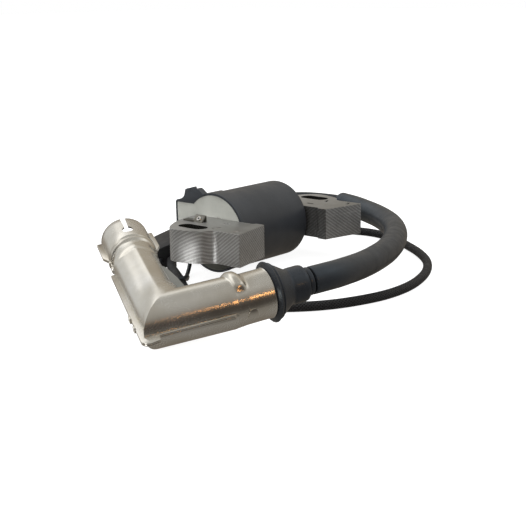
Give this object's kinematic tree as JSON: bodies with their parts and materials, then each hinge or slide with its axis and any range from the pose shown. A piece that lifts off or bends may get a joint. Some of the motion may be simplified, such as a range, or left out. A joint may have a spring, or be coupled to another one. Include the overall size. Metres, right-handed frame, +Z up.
{
  "type": "ignition coil",
  "caption": "Flywheel-triggered ignition coil for a small engine, with a high-voltage lead to an angled, metal-shielded plug cap and a kill lead.",
  "frame": {"origin": "midway between the two mounting slots, on the core's bottom face", "axes": "+X along the line of the slots towards the foot at the lead's end of the case, +Z up along the mounting bolts, -Y towards the flywheel; the plug cap lies at -X and -Y"},
  "size_m": [0.1991, 0.1348, 0.0357],
  "materials": {
    "lamination_steel": "stacked silicon-steel sheets, fine horizontal lines, satin",
    "case_plastic": "moulded glass-filled nylon, charcoal, matte",
    "epoxy": "cast potting resin, warm light grey, slightly dimpled",
    "tab_steel": "plated sheet steel, satin",
    "rivet_steel": "plated eyelet, satin",
    "lead_rubber": "black silicone lead jacket, satin",
    "sleeve_rubber": "black protective hose, satin",
    "boot_rubber": "moulded rubber, semi-gloss",
    "shield_nickel": "pressed sheet steel, nickel plated, fine draw scratches",
    "kill_braid": "braided sleeve over stranded wire, black",
    "ground_pvc": "thin PVC insulation, black",
    "housing_plastic": "moulded nylon connector body, black",
    "bobbin_plastic": "moulded winding former, natural nylon",
    "copper_enamel": "enamelled copper wire, wound",
    "contact_brass": "turned or pressed brass",
    "board_laminate": "glass-epoxy circuit board",
    "chip_plastic": "moulded component bodies",
    "phenolic": "moulded phenolic insulator, dark grey",
    "ceramic_body": "ceramic resistor rod",
    "spring_steel": "spring steel wire"
  },
  "bodies": {
    "coil": {"front_lamination_stack": "lamination_steel", "rear_lamination_stack": "lamination_steel", "coil_case": "case_plastic", "epoxy_fill": "epoxy", "ground_tab": "tab_steel", "ground_rivet": "rivet_steel", "hv_lead": "lead_rubber", "hv_sleeve": "sleeve_rubber", "lead_seal": "boot_rubber", "kill_lead": "kill_braid", "ground_wire": "ground_pvc", "connector_housing": "housing_plastic", "primary_bobbin": "bobbin_plastic", "primary_winding": "copper_enamel", "secondary_bobbin": "bobbin_plastic", "secondary_winding": "copper_enamel", "hv_terminal": "contact_brass", "control_board": "board_laminate", "board_components": "chip_plastic", "power_transistor": "chip_plastic", "hv_tower_grommet": "boot_rubber", "kill_wire_grommet": "boot_rubber", "connector_terminals": "contact_brass"},
    "cap": {"cap_boot": "boot_rubber", "shield_upper": "shield_nickel", "shield_lower": "shield_nickel", "cap_body": "phenolic", "lead_screw": "contact_brass", "cap_resistor": "ceramic_body", "contact_spring": "spring_steel", "plug_terminal": "contact_brass", "snap_ring": "spring_steel", "plug_seal": "boot_rubber"}
  },
  "joints": [
    {"name": "cap_swivel", "type": "hinge", "parent": "coil", "child": "cap", "pos_m": [-0.0858, -0.06292, 0.00269], "axis": [0.9062, -0.4036, 0.1261], "range_deg": [-90, 90]}
  ]
}
